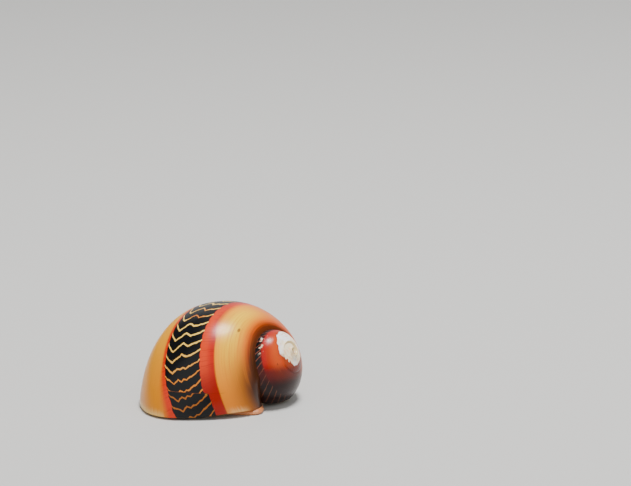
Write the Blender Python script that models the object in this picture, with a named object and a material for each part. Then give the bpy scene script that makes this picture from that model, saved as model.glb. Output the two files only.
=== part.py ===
"""A nerite snail, life size, resting on its foot with its head turned out under the far lip.

Metres, +Z up, floor at z = 0. +X runs from the head end of the shell towards its spire.
The shell is a whorl section swept on a logarithmic spiral about the coiling axis.
"""
import bmesh
import bpy
import math
from mathutils import Vector

MM = 0.001
GAP = 0.3 * MM

# Shell: where the spiral starts, how its axis leans, and how fast the whorls widen
APEX = Vector((8.74, -5.6, 6.9)) * MM
AXIS_AZIMUTH_DEG = -32.0
AXIS_RISE_DEG = 25.5
WHORL_EXPANSION = 2.6

# Whorl section straight above the axis: centre (out, along), and radius by angle
SECTION_CENTRE = (2.4 * MM, -8.0 * MM)
SECTION_ANGLES = (110, 75, 40, 5, -30, -65, -100, -135)
SECTION_RADII = (5.0, 5.2, 5.2, 5.7, 6.8, 7.35, 7.7, 8.0)
SECTION_TOP_DEG = 100
SECTION_BASE_DEG = -112
SECTION_POINTS = 26
CORE_RADIUS = 0.5 * MM

# Turns of the spiral, in degrees from straight up
SEAM_TURN = -172
LIP_TURN = 196
WHORL_STEP = 8
SPIRE_STEP = 14
SEAM_GAP_TURN = 5
SPIRE_STEPS = 44

# Near the lip the last whorl sinks towards its suture and flares a little outward
SUTURE_SINK = 1.8 * MM
SUTURE_SINK_ANGLE = 90
SUTURE_SINK_SPREAD = 26
SUTURE_SINK_TURNS = (105, 172)
LIP_FLARE = 0.8 * MM
LIP_FLARE_ANGLE = -16
LIP_FLARE_SPREAD = 24
LIP_FLARE_TURNS = (62, 100)

# The worn tip of the spire: a shallow dome cut across the first whorls
WORN_DOME_RADIUS = 6.0 * MM
WORN_DOME_TOP = -1.15 * MM

# Mouth of the shell: its rim arches a little on the near side and rises over the head
RIM_HEIGHT = 0.3 * MM
RIM_ARCH = 0.4 * MM
RIM_ARCH_X = 2.0 * MM
RIM_ARCH_SPREAD = 3.6 * MM
RIM_RISE = 2.3 * MM
RIM_RISE_HEADING_DEG = 115
RIM_RISE_FROM = 0.8 * MM
RIM_RISE_TO = 4.6 * MM

# Columellar deck: a shelf behind a straight edge that runs along the coiling axis
DECK_THICKNESS = 0.8 * MM
DECK_EDGE_POINT = Vector((1.9, -1.8, 0)) * MM
DECK_EDGE_HEADING_DEG = -30
DECK_TOOTH_COUNT = 7
DECK_TOOTH_PITCH = 0.55 * MM
DECK_NOTCH_RADIUS = 0.176 * MM

# Foot: an oval sole, given as reach from the middle of the shell's mouth
FOOT_MIDDLE = Vector((-1.3, -2.8, 0)) * MM
FOOT_REACH = 6.4 * MM
FOOT_FRONT_DEG = 137
FOOT_FRONT_REACH = 1.5 * MM
FOOT_REAR_DEG = -46
FOOT_REAR_REACH = 1.6 * MM
FOOT_FAR_DEG = 58
FOOT_FAR_CUT = 2.2 * MM
FOOT_EDGE_HEIGHT = 0.6 * MM
FOOT_STEM_MIDDLE = Vector((-2.0, -5.2, 0)) * MM
FOOT_POINTS = 48
SOLE_CLEARANCE = 5

# Rows of the foot from its sole up: size, share of the way to the stem, level in edge heights
FOOT_ROWS = (
    (0.96, 0.0, 0.0),
    (1.0, 0.0, 0.35),
    (0.985, 0.0, 0.75),
    (0.94, 0.03, 1.0),
    (0.66, 0.8, 1.25),
    (0.58, 1.0, 2.6),
    (0.44, 1.0, 3.8),
    (0.22, 1.0, 4.5),
)

# Head, neck and snout: rings along a bent line, as place, heading, half width, low and high
NECK_RINGS = (
    ((-3.0, 0.6), 128, 1.1, 1.15, 1.9),
    ((-3.7, 1.4), 126, 1.65, 1.0, 2.3),
    ((-4.5, 2.3), 118, 1.85, 0.95, 2.45),
    ((-5.15, 3.2), 108, 1.95, 0.9, 2.6),
    ((-5.5, 4.1), 100, 1.95, 0.75, 2.6),
    ((-5.65, 4.8), 97, 1.8, 0.55, 2.4),
)
SNOUT_RINGS = (
    ((-5.7, 5.12), 96, 1.6, 0.5, 2.1),
    ((-5.75, 5.6), 96, 1.6, 0.38, 1.9),
    ((-5.8, 6.15), 96, 1.5, 0.32, 1.65),
    ((-5.85, 6.5), 96, 1.2, 0.4, 1.4),
    ((-5.87, 6.68), 96, 0.75, 0.6, 1.15),
)
RING_POINTS = 20
RING_SQUARENESS = 0.85

# Feelers: places along each from root to tip, and the stretch of each of their lengths
TENTACLE_LEFT = ((-6.75, 4.75, 2.0), (-7.25, 6.2, 2.05), (-7.55, 8.1, 1.5), (-7.3, 10.5, 0.85))
TENTACLE_RIGHT = ((-4.45, 4.95, 2.0), (-3.7, 6.3, 2.1), (-2.75, 8.1, 1.65), (-2.2, 10.35, 0.95))
TENTACLE_ROOT_RADIUS = 0.38 * MM
TENTACLE_TIP_RADIUS = 0.17 * MM
TENTACLE_LENGTHS = ("base", "middle", "tip")
TENTACLE_SPANS = ((0.0, 0.3), (0.353, 0.65), (0.703, 1))
TENTACLE_STEPS = 5
TENTACLE_LOOK = 0.005
TENTACLE_SIDES = 12
TENTACLE_TIP_ROWS = ((0.07 * MM, 0.8), (0.12 * MM, 0.4))

# Eyes: black beads on short stalks outside the roots of the feelers, in millimetres
EYESTALKS = {"left": (-7.3, 4.2, 2.25), "right": (-3.75, 4.55, 2.25)}
EYESTALK_SIZE = (0.5, 0.55, 0.55)
EYE_RADIUS = 0.3
EYE_OUTWARD = 0.34
EYE_UPWARD = 0.36
EYE_GAP = 0.12 * MM
HEAD_HEADING_DEG = 97

# Mouth: a slit across the front of the snout, with a lip above and below it
MOUTH_MIDDLE = Vector((-5.87, 6.74, 0.82)) * MM
MOUTH_RADIUS = 0.17 * MM
MOUTH_WIDTH = 1.5 * MM

# Operculum: a half-moon plate with a flatter outer side, on the rear of the foot
OPERCULUM_MIDDLE = Vector((1.75, -5.85, 0)) * MM
OPERCULUM_HEADING_DEG = -25
OPERCULUM_HALF_LENGTH = 2.2 * MM
OPERCULUM_OUTER = 0.9 * MM
OPERCULUM_INNER = 1.6 * MM
OPERCULUM_LOW = 1.0 * MM
OPERCULUM_THICKNESS = 0.55 * MM
OPERCULUM_BEVEL = 0.12 * MM
OPERCULUM_POINTS = 24

# Blocks that cut the shell reach well past it on every side
BLOCK_REACH = 14 * MM
BLOCK_CELLS = 28
BLOCK_BOTTOM = -5 * MM
BLOCK_TOP = 12 * MM
SMOOTH_UP_TO_DEG = 35

UP = Vector((0, 0, 1))
COLLECTION = "nerite_snail"


def clear_scene():
    for item in list(bpy.data.objects):
        bpy.data.objects.remove(item, do_unlink=True)


def collection_named(name):
    group = bpy.data.collections.new(name)
    bpy.context.scene.collection.children.link(group)
    return group


def material(name, colour, roughness, metallic=0.0):
    finish = bpy.data.materials.new(name)
    finish.use_nodes = True
    shader = finish.node_tree.nodes["Principled BSDF"]
    shader.inputs["Base Color"].default_value = (*colour, 1.0)
    shader.inputs["Roughness"].default_value = roughness
    shader.inputs["Metallic"].default_value = metallic
    return finish


def heading(angle_deg):
    angle = math.radians(angle_deg)
    return Vector((math.cos(angle), math.sin(angle), 0))


def smooth_step(value, start, end):
    share = min(1, max(0, (value - start) / (end - start)))
    return share * share * (3 - 2 * share)


def bump(value, middle, spread):
    return math.exp(-((value - middle) / spread) ** 2)


def smooth_curve(values, place):
    """Value at a fractional place along a list, on a smooth curve through its entries."""
    last = len(values) - 1
    low = max(0, min(last - 1, int(place)))
    mix = place - low
    before = values[max(low - 1, 0)]
    here = values[low]
    there = values[low + 1]
    after = values[min(low + 2, last)]
    slope_here = (there - before) * 0.5
    slope_there = (after - here) * 0.5
    return (
        here * (2 * mix ** 3 - 3 * mix ** 2 + 1)
        + slope_here * (mix ** 3 - 2 * mix ** 2 + mix)
        + there * (3 * mix ** 2 - 2 * mix ** 3)
        + slope_there * (mix ** 3 - mix ** 2)
    )


def shell_frame():
    rise = math.radians(AXIS_RISE_DEG)
    axis = heading(AXIS_AZIMUTH_DEG) * math.cos(rise) + UP * math.sin(rise)
    upward = (UP - axis * axis.z).normalized()
    return axis, upward, axis.cross(upward)


def spiral_point(turn_deg, out, along):
    axis, upward, onward = shell_frame()
    turn = math.radians(turn_deg)
    return APEX + (upward * math.cos(turn) + onward * math.sin(turn)) * out + axis * along


def whorl_scale(turn_deg):
    return WHORL_EXPANSION ** (turn_deg / 360)


def section_radius(turn_deg, angle_deg):
    spacing = SECTION_ANGLES[0] - SECTION_ANGLES[1]
    radius = MM * smooth_curve(SECTION_RADII, (SECTION_ANGLES[0] - angle_deg) / spacing)
    sunk = SUTURE_SINK * smooth_step(turn_deg, *SUTURE_SINK_TURNS)
    sunk *= bump(angle_deg, SUTURE_SINK_ANGLE, SUTURE_SINK_SPREAD)
    flared = LIP_FLARE * smooth_step(turn_deg, *LIP_FLARE_TURNS)
    flared *= bump(angle_deg, LIP_FLARE_ANGLE, LIP_FLARE_SPREAD)
    return radius - sunk + flared


def section_loop(turn_deg, grow, points):
    """Closed loop of the whorl section at one turn: out along the wall, back along the core."""
    scale = whorl_scale(turn_deg)
    loop = []
    for count in range(points):
        angle_deg = SECTION_TOP_DEG + (SECTION_BASE_DEG - SECTION_TOP_DEG) * count / (points - 1)
        angle = math.radians(angle_deg)
        reach = section_radius(turn_deg, angle_deg) * scale + grow
        out = SECTION_CENTRE[0] * scale + reach * math.cos(angle)
        along = SECTION_CENTRE[1] * scale + reach * math.sin(angle)
        loop.append((max(out, CORE_RADIUS * scale), along))
    loop.append((CORE_RADIUS * scale, loop[0][1]))
    return loop


def loft_mesh(name, rings):
    """Closed skin through rings of equal count, with a flat face over each end."""
    count = len(rings[0])
    points = [point for ring in rings for point in ring]
    faces = []
    for row in range(len(rings) - 1):
        for step in range(count):
            near = row * count + step
            far = row * count + (step + 1) % count
            faces.append((near, far, far + count, near + count))
    last = (len(rings) - 1) * count
    faces.append(tuple(range(count)))
    faces.append(tuple(range(last, last + count)))
    mesh = bpy.data.meshes.new(name)
    mesh.from_pydata(points, [], faces)
    shape = bmesh.new()
    shape.from_mesh(mesh)
    bmesh.ops.recalc_face_normals(shape, faces=shape.faces)
    shape.to_mesh(mesh)
    shape.free()
    return mesh


def add_object(name, mesh, group):
    item = bpy.data.objects.new(name, mesh)
    group.objects.link(item)
    return item


def move_to(item, group):
    for home in list(item.users_collection):
        home.objects.unlink(item)
    group.objects.link(item)


def as_cutter(item, group):
    """Mark an object as a tool that only cuts others, and keep it in its own collection."""
    move_to(item, group)
    item.hide_render = True
    item.display_type = "WIRE"
    bpy.context.view_layer.update()
    return item


def add_cutter(name, mesh, group):
    return as_cutter(add_object(name, mesh, group), group)


def remove(*items):
    for item in items:
        bpy.data.objects.remove(item, do_unlink=True)


def boolean(item, other, operation):
    change = item.modifiers.new(operation.lower(), "BOOLEAN")
    change.operation = operation
    change.solver = "MANIFOLD"
    change.object = other
    with bpy.context.temp_override(object=item, active_object=item):
        bpy.ops.object.modifier_apply(modifier=change.name)


def keep_largest(item):
    """Keep the largest closed surface of a mesh and drop loose scraps."""
    shape = bmesh.new()
    shape.from_mesh(item.data)
    unseen = set(shape.faces)
    groups = []
    while unseen:
        stack = [unseen.pop()]
        group = set(stack)
        while stack:
            for edge in stack.pop().edges:
                for face in edge.link_faces:
                    if face in unseen:
                        unseen.discard(face)
                        group.add(face)
                        stack.append(face)
        groups.append(group)
    largest = max(groups, key=len)
    scraps = [face for face in shape.faces if face not in largest]
    bmesh.ops.delete(shape, geom=scraps, context="FACES")
    shape.to_mesh(item.data)
    shape.free()


def finish_piece(item, finish):
    item.data.materials.clear()
    item.data.materials.append(finish)
    item.data.shade_smooth()
    item.data.set_sharp_from_angle(angle=math.radians(SMOOTH_UP_TO_DEG))


def whorl_sweep(name, turns, grow, group):
    rings = []
    for turn in turns:
        loop = section_loop(turn, grow, SECTION_POINTS)
        rings.append([spiral_point(turn, out, along) for out, along in loop])
    return add_object(name, loft_mesh(name, rings), group)


def whorls(name, end_deg, step_deg, steps, grow, group):
    """Solid whorls that end at one turn, joined from half-turn sweeps that share one step."""
    turns = [end_deg - step_deg * count for count in range(steps + 1)]
    half = int(180 / step_deg)
    whole = None
    for first in range(0, steps, half):
        sweep = whorl_sweep(name, turns[first:first + half + 2], grow, group)
        if whole:
            boolean(whole, sweep, "UNION")
            remove(sweep)
        else:
            whole = sweep
    return whole


def rim_height(x, y):
    along = Vector((x, y, 0)).dot(heading(RIM_RISE_HEADING_DEG))
    level = RIM_HEIGHT + RIM_ARCH * bump(x, RIM_ARCH_X, RIM_ARCH_SPREAD)
    return level + RIM_RISE * smooth_step(along, RIM_RISE_FROM, RIM_RISE_TO)


def below_rim(name, lift, group):
    """Block under the shell's rim, raised by lift."""
    cells = BLOCK_CELLS
    bpy.ops.mesh.primitive_grid_add(x_subdivisions=cells, y_subdivisions=cells, size=2 * BLOCK_REACH)
    block = bpy.context.object
    block.name = name
    shape = bmesh.new()
    shape.from_mesh(block.data)
    for vertex in shape.verts:
        vertex.co.z = rim_height(vertex.co.x, vertex.co.y) + lift
    lower = bmesh.ops.extrude_face_region(shape, geom=shape.faces[:])["geom"]
    for vertex in lower:
        if isinstance(vertex, bmesh.types.BMVert):
            vertex.co.z = BLOCK_BOTTOM
    bmesh.ops.recalc_face_normals(shape, faces=shape.faces)
    shape.to_mesh(block.data)
    shape.free()
    return as_cutter(block, group)


def deck_side(name, shift, group):
    """Upright block on the far side of the deck's straight edge, moved back by shift."""
    edge = heading(DECK_EDGE_HEADING_DEG)
    away = heading(DECK_EDGE_HEADING_DEG + 90)
    middle = DECK_EDGE_POINT + away * shift
    corners = []
    for along, back in ((-1, 0), (1, 0), (1, 1), (-1, 1)):
        corners.append(middle + (edge * along + away * back) * 2 * BLOCK_REACH)
    low = [corner + UP * 2 * BLOCK_BOTTOM for corner in corners]
    high = [corner + UP * BLOCK_TOP for corner in corners]
    return add_cutter(name, loft_mesh(name, [low, high]), group)


def foot_reach(angle_deg, grow):
    def lobe(middle_deg, power):
        return max(0, math.cos(math.radians(angle_deg - middle_deg))) ** power

    reach = FOOT_REACH + FOOT_FRONT_REACH * lobe(FOOT_FRONT_DEG, 6)
    reach += FOOT_REAR_REACH * lobe(FOOT_REAR_DEG, 30)
    return reach - FOOT_FAR_CUT * lobe(FOOT_FAR_DEG, 2) + grow


def foot_mesh(name, grow):
    """Oval foot: flat sole, rounded margin, and a stem that rises into the shell."""
    rings = []
    for size, shift, level in FOOT_ROWS:
        middle = FOOT_MIDDLE.lerp(FOOT_STEM_MIDDLE, shift)
        ring = []
        for step in range(FOOT_POINTS):
            angle_deg = 360 * step / FOOT_POINTS
            spot = middle + heading(angle_deg) * (foot_reach(angle_deg, 0) * size + grow)
            height = FOOT_EDGE_HEIGHT * level + grow
            spot.z = height if level > 0 else -SOLE_CLEARANCE * grow
            ring.append(spot)
        rings.append(ring)
    return loft_mesh(name, rings)


def body_rings(rows, grow):
    rings = []
    for (x, y), heading_deg, half_width, low, high in rows:
        side = heading(heading_deg + 90)
        middle = Vector((x, y, (low + high) / 2)) * MM
        ring = []
        for step in range(RING_POINTS):
            angle = 2 * math.pi * step / RING_POINTS
            across = math.copysign(abs(math.cos(angle)) ** RING_SQUARENESS, math.cos(angle))
            up = math.copysign(abs(math.sin(angle)) ** RING_SQUARENESS, math.sin(angle))
            ring.append(
                middle
                + side * across * (half_width * MM + grow)
                + UP * up * ((high - low) / 2 * MM + grow)
            )
        rings.append(ring)
    return rings


def tube_rings(path, start, end):
    """Rings of a tapered feeler along a smooth curve, with a round tip at its far end."""
    points = [Vector(point) * MM for point in path]
    last = len(points) - 1
    step_size = (end - start) / TENTACLE_STEPS
    rows = [(start + step_size * row, 0, 1) for row in range(TENTACLE_STEPS + 1)]
    if end == 1:
        rows += [(1, beyond, size) for beyond, size in TENTACLE_TIP_ROWS]
    rings = []
    for place, beyond, size in rows:
        ahead = smooth_curve(points, min(place + TENTACLE_LOOK, 1) * last)
        behind = smooth_curve(points, max(place - TENTACLE_LOOK, 0) * last)
        forward = (ahead - behind).normalized()
        middle = smooth_curve(points, place * last) + forward * beyond
        side = forward.cross(UP).normalized()
        up = side.cross(forward)
        taper = TENTACLE_TIP_RADIUS - TENTACLE_ROOT_RADIUS
        radius = (TENTACLE_ROOT_RADIUS + taper * place) * size
        ring = []
        for step in range(TENTACLE_SIDES):
            angle = 2 * math.pi * step / TENTACLE_SIDES
            ring.append(middle + side * math.cos(angle) * radius + up * math.sin(angle) * radius)
        rings.append(ring)
    return rings


def half_moon(name, grow):
    """Operculum: a thick half-moon plate that lies on the rear of the foot."""
    lengthwise = heading(OPERCULUM_HEADING_DEG)
    across = heading(OPERCULUM_HEADING_DEG + 90)
    bevel = OPERCULUM_BEVEL
    low = OPERCULUM_LOW - grow
    high = OPERCULUM_LOW + OPERCULUM_THICKNESS + grow
    rings = []
    for level, inset in ((low, bevel), (low + bevel, 0), (high - bevel, 0), (high, bevel)):
        ring = []
        for step in range(OPERCULUM_POINTS):
            angle = 2 * math.pi * step / OPERCULUM_POINTS
            half_width = OPERCULUM_OUTER if math.sin(angle) < 0 else OPERCULUM_INNER
            spot = (
                OPERCULUM_MIDDLE
                + lengthwise * math.cos(angle) * (OPERCULUM_HALF_LENGTH - inset + grow)
                + across * math.sin(angle) * (half_width - inset + grow)
            )
            spot.z = level
            ring.append(spot)
        rings.append(ring)
    return loft_mesh(name, rings)


def deck_zone(name, grow, group):
    """Space of the deck: above the rim's surface, behind the deck's straight edge."""
    zone = below_rim(name, DECK_THICKNESS + grow, group)
    side = deck_side("deck_side", -grow, group)
    boolean(zone, side, "INTERSECT")
    remove(side)
    return zone


def cut_deck_teeth(deck, group):
    edge = heading(DECK_EDGE_HEADING_DEG)
    for count in range(DECK_TOOTH_COUNT):
        offset = (count - (DECK_TOOTH_COUNT - 1) / 2) * DECK_TOOTH_PITCH
        bpy.ops.mesh.primitive_cylinder_add(vertices=8, radius=DECK_NOTCH_RADIUS, depth=BLOCK_TOP)
        notch = bpy.context.object
        notch.location = DECK_EDGE_POINT + edge * offset
        boolean(deck, as_cutter(notch, group), "DIFFERENCE")
        remove(notch)


def upright_blob(name, place, size, grow, group):
    """Rounded blob with its half sizes along the head's heading, across it and up."""
    bpy.ops.mesh.primitive_uv_sphere_add(segments=16, ring_count=10, radius=1)
    blob = bpy.context.object
    blob.name = name
    move_to(blob, group)
    forward = heading(HEAD_HEADING_DEG)
    side = heading(HEAD_HEADING_DEG + 90)
    for vertex in blob.data.vertices:
        unit = vertex.co.copy()
        spread = forward * unit.x * (size[0] * MM + grow)
        spread += side * unit.y * (size[1] * MM + grow)
        spread += UP * unit.z * (size[2] * MM + grow)
        vertex.co = Vector(place) * MM + spread
    return blob


def cut_mouth(snout, group):
    bpy.ops.mesh.primitive_cylinder_add(vertices=12, radius=MOUTH_RADIUS, depth=MOUTH_WIDTH)
    slit = bpy.context.object
    slit.rotation_euler = (math.radians(90), 0, math.radians(HEAD_HEADING_DEG))
    slit.location = MOUTH_MIDDLE
    boolean(snout, as_cutter(slit, group), "DIFFERENCE")
    remove(slit)


def worn_dome(group):
    axis = shell_frame()[0]
    middle = APEX + axis * (WORN_DOME_TOP - WORN_DOME_RADIUS)
    bpy.ops.mesh.primitive_uv_sphere_add(segments=64, ring_count=32, radius=WORN_DOME_RADIUS)
    dome = bpy.context.object
    dome.rotation_euler = axis.to_track_quat("Z", "Y").to_euler()
    dome.location = middle
    return as_cutter(dome, group)


def build():
    clear_scene()
    parts = collection_named(COLLECTION)
    cutters = collection_named("cutters")
    shell_finish = material("glossy_shell", (0.8, 0.33, 0.04), 0.18)
    spire_finish = material("worn_shell", (0.35, 0.05, 0.03), 0.3)
    callus_finish = material("callus", (0.86, 0.72, 0.5), 0.35)
    operculum_finish = material("operculum", (0.75, 0.55, 0.42), 0.4)
    flesh_finish = material("flesh", (0.42, 0.38, 0.3), 0.45)
    eye_finish = material("eye", (0.01, 0.01, 0.01), 0.08)

    body_steps = round((LIP_TURN - SEAM_TURN) / WHORL_STEP)
    body = whorls("shell_body_whorl", LIP_TURN, WHORL_STEP, body_steps, 0, parts)
    spire = whorls("shell_spire", SEAM_TURN - SEAM_GAP_TURN, SPIRE_STEP, SPIRE_STEPS, 0, parts)
    room = whorls("spire_room", SEAM_TURN - 1, SPIRE_STEP, SPIRE_STEPS, GAP, cutters)
    as_cutter(room, cutters)
    dome = worn_dome(cutters)
    boolean(body, room, "DIFFERENCE")
    boolean(spire, dome, "INTERSECT")
    remove(room, dome)

    under = below_rim("under_rim", 0, cutters)
    boolean(body, under, "DIFFERENCE")
    boolean(spire, under, "DIFFERENCE")
    remove(under)

    deck = add_object("columellar_deck", body.data.copy(), parts)
    zone = deck_zone("deck_zone", 0, cutters)
    zone_room = deck_zone("deck_room", GAP, cutters)
    boolean(deck, zone, "INTERSECT")
    boolean(body, zone_room, "DIFFERENCE")
    cut_deck_teeth(deck, cutters)
    remove(zone, zone_room)

    foot = add_object("foot", foot_mesh("foot", 0), parts)
    foot_room = add_cutter("foot_room", foot_mesh("foot_room", GAP), cutters)
    head = add_object("head", loft_mesh("head", body_rings(NECK_RINGS, 0)), parts)
    head_room = add_cutter("head_room", loft_mesh("head_room", body_rings(NECK_RINGS, GAP)), cutters)
    snout = add_object("snout", loft_mesh("snout", body_rings(SNOUT_RINGS, 0)), parts)
    snout_room = add_cutter("snout_room", loft_mesh("snout_room", body_rings(SNOUT_RINGS, GAP)), cutters)
    operculum = add_object("operculum", half_moon("operculum", 0), parts)
    operculum_room = add_cutter("operculum_room", half_moon("operculum_room", GAP), cutters)
    for item in (body, spire, deck, operculum):
        boolean(item, foot_room, "DIFFERENCE")
    for item in (body, deck, foot):
        boolean(item, head_room, "DIFFERENCE")
    for item in (body, spire, deck):
        boolean(item, operculum_room, "DIFFERENCE")

    finishes = {
        body: shell_finish,
        spire: spire_finish,
        deck: callus_finish,
        operculum: operculum_finish,
        foot: flesh_finish,
        head: flesh_finish,
        snout: flesh_finish,
    }
    for side, path in (("left", TENTACLE_LEFT), ("right", TENTACLE_RIGHT)):
        for word, (start, end) in zip(TENTACLE_LENGTHS, TENTACLE_SPANS):
            name = f"tentacle_{side}_{word}"
            rings = tube_rings(path, start, end)
            piece = add_object(name, loft_mesh(name, rings), parts)
            boolean(piece, head_room, "DIFFERENCE")
            boolean(piece, snout_room, "DIFFERENCE")
            finishes[piece] = flesh_finish
    for side, place in EYESTALKS.items():
        outward = heading(HEAD_HEADING_DEG + (90 if side == "left" else -90))
        seat = Vector(place) + outward * EYE_OUTWARD + UP * EYE_UPWARD
        ball = (EYE_RADIUS, EYE_RADIUS, EYE_RADIUS)
        stalk = upright_blob(f"eyestalk_{side}", place, EYESTALK_SIZE, 0, parts)
        eye = upright_blob(f"eye_{side}", seat, ball, 0, parts)
        eye_room = as_cutter(upright_blob("eye_room", seat, ball, EYE_GAP, cutters), cutters)
        boolean(stalk, head_room, "DIFFERENCE")
        boolean(stalk, eye_room, "DIFFERENCE")
        remove(eye_room)
        finishes[stalk] = flesh_finish
        finishes[eye] = eye_finish
    cut_mouth(snout, cutters)
    remove(foot_room, head_room, snout_room, operculum_room)
    for item, finish in finishes.items():
        keep_largest(item)
        finish_piece(item, finish)


build()
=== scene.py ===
"""Looks of a life-size nerite snail: banded glossy shell, soft body, eyes and operculum.

Metres, +Z up, floor at z = 0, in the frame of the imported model.
"""

import math

import bpy
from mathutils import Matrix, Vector, noise


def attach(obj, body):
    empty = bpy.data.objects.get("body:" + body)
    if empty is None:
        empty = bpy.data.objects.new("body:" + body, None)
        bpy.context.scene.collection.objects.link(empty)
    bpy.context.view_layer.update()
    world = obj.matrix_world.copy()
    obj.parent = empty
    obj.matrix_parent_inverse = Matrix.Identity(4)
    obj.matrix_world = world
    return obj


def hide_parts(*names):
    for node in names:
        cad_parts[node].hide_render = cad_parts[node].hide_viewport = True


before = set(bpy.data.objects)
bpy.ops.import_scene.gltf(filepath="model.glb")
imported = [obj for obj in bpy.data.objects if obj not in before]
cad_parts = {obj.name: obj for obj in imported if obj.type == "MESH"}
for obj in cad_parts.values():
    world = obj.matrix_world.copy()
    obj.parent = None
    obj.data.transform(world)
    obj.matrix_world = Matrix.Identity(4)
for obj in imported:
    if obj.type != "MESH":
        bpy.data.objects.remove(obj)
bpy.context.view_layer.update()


# Shell: one tube of aragonite coiled on a logarithmic spiral and glossy as porcelain.
# The animal lays it down at its lip, line by line, so colours run as bands along the coil
# and the black and gold zigzags cross them. The first whorls are worn down to white chalk.
MM = 0.001
APEX = Vector((8.74, -5.6, 6.9)) * MM
AXIS_AZIMUTH = -32.0
AXIS_RISE = 25.5
WHORL_EXPANSION = 2.6
SECTION_CENTRE = (2.4 * MM, -8.0 * MM)
SECTION_ANGLES = (110, 75, 40, 5, -30, -65, -100, -135)
SECTION_RADII = (5.0, 5.2, 5.2, 5.7, 6.8, 7.35, 7.7, 8.0)
SUTURE_SINK = 1.8 * MM
SUTURE_SINK_ANGLE = 90
SUTURE_SINK_SPREAD = 26
SUTURE_SINK_TURNS = (105, 172)
LIP_FLARE = 0.8 * MM
LIP_FLARE_ANGLE = -16
LIP_FLARE_SPREAD = 24
LIP_FLARE_TURNS = (62, 100)
CORE_RADIUS = 0.5 * MM
WORN_DOME_RADIUS = 6.0 * MM
WORN_DOME_TOP = -1.15 * MM
WORN_RELIEF = 0.12
WORN_SOFTNESS = 0.05 * MM
WORN_THROUGH_TURN = -470
RIM_HEIGHT = 0.3 * MM
RIM_ARCH = 0.4 * MM
RIM_ARCH_X = 2.0 * MM
RIM_ARCH_SPREAD = 3.6 * MM
RIM_RISE = 2.3 * MM
RIM_RISE_HEADING = 115
RIM_RISE_FROM = 0.8 * MM
RIM_RISE_TO = 4.6 * MM
SHELL_THICKNESS = 0.36 * MM
FIRST_TURN = -1200
SEAM_TURN = -180
EARLY_ROWS = 150
LAST_WHORL_ROWS = 190
SHELL_COLUMNS = 124
TOP_ANGLE = 100
COVERED_ANGLE = -34
SMOOTH_UP_TO = math.radians(50)


def heading(angle):
    turn = math.radians(angle)
    return Vector((math.cos(turn), math.sin(turn), 0))


def smooth_step(value, start, end):
    share = min(1, max(0, (value - start) / (end - start)))
    return share * share * (3 - 2 * share)


def bell(value, middle, spread):
    return math.exp(-((value - middle) / spread) ** 2)


def on_curve(values, place):
    """Value at a fractional place along a list, on a smooth curve through its entries."""
    last = len(values) - 1
    low = max(0, min(last - 1, int(place)))
    mix = place - low
    before = values[max(low - 1, 0)]
    here = values[low]
    there = values[low + 1]
    after = values[min(low + 2, last)]
    return (
        here * (2 * mix ** 3 - 3 * mix ** 2 + 1)
        + (there - before) * 0.5 * (mix ** 3 - 2 * mix ** 2 + mix)
        + there * (3 * mix ** 2 - 2 * mix ** 3)
        + (after - here) * 0.5 * (mix ** 3 - mix ** 2)
    )


rise = math.radians(AXIS_RISE)
AXIS = heading(AXIS_AZIMUTH) * math.cos(rise) + Vector((0, 0, math.sin(rise)))
UPWARD = (Vector((0, 0, 1)) - AXIS * AXIS.z).normalized()
ONWARD = AXIS.cross(UPWARD)
WORN_DOME_MIDDLE = APEX + AXIS * (WORN_DOME_TOP - WORN_DOME_RADIUS)


def shell_point(turn, angle):
    """Point of the outer wall at one turn of the coil and one angle round the whorl."""
    scale = WHORL_EXPANSION ** (turn / 360)
    spacing = SECTION_ANGLES[0] - SECTION_ANGLES[1]
    reach = on_curve(SECTION_RADII, (SECTION_ANGLES[0] - angle) / spacing) * MM
    sunk = SUTURE_SINK * smooth_step(turn, *SUTURE_SINK_TURNS)
    reach -= sunk * bell(angle, SUTURE_SINK_ANGLE, SUTURE_SINK_SPREAD)
    flared = LIP_FLARE * smooth_step(turn, *LIP_FLARE_TURNS)
    reach += flared * bell(angle, LIP_FLARE_ANGLE, LIP_FLARE_SPREAD)
    swing = math.radians(angle)
    out = max(SECTION_CENTRE[0] + reach * math.cos(swing), CORE_RADIUS) * scale
    along = (SECTION_CENTRE[1] + reach * math.sin(swing)) * scale
    round_axis = math.radians(turn)
    spoke = UPWARD * math.cos(round_axis) + ONWARD * math.sin(round_axis)
    return APEX + spoke * out + AXIS * along


def rim_height(x, y):
    along = Vector((x, y, 0)).dot(heading(RIM_RISE_HEADING))
    level = RIM_HEIGHT + RIM_ARCH * bell(x, RIM_ARCH_X, RIM_ARCH_SPREAD)
    return level + RIM_RISE * smooth_step(along, RIM_RISE_FROM, RIM_RISE_TO)


def above_rim(turn, angle):
    point = shell_point(turn, angle)
    return point.z - rim_height(point.x, point.y)


def rim_turn(angle, inside, outside):
    """Turn where the wall meets the rim, between one above it and a far one towards the rim."""
    step = 2 if outside > inside else -2
    turn = inside
    while (outside - turn) * step > 0 and above_rim(turn + step, angle) > 0:
        turn += step
    if (outside - turn) * step <= 0:
        return outside
    near, far = turn, turn + step
    for _ in range(20):
        middle = (near + far) / 2
        if above_rim(middle, angle) > 0:
            near = middle
        else:
            far = middle
    return near


def highest_turn(angle):
    return max(range(-90, 121, 3), key=lambda turn: above_rim(turn, angle))


def lowest_angle():
    """Angle round the whorl where the base of the shell only just clears the rim."""
    clear, covered = -60, -125
    for _ in range(30):
        middle = (clear + covered) / 2
        if above_rim(highest_turn(middle), middle) > 0:
            clear = middle
        else:
            covered = middle
    return clear


def deselect():
    if bpy.context.object and bpy.context.object.mode != "OBJECT":
        bpy.ops.object.mode_set(mode="OBJECT")
    bpy.ops.object.select_all(action="DESELECT")


def select_only(piece):
    deselect()
    piece.select_set(True)
    bpy.context.view_layer.objects.active = piece


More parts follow.
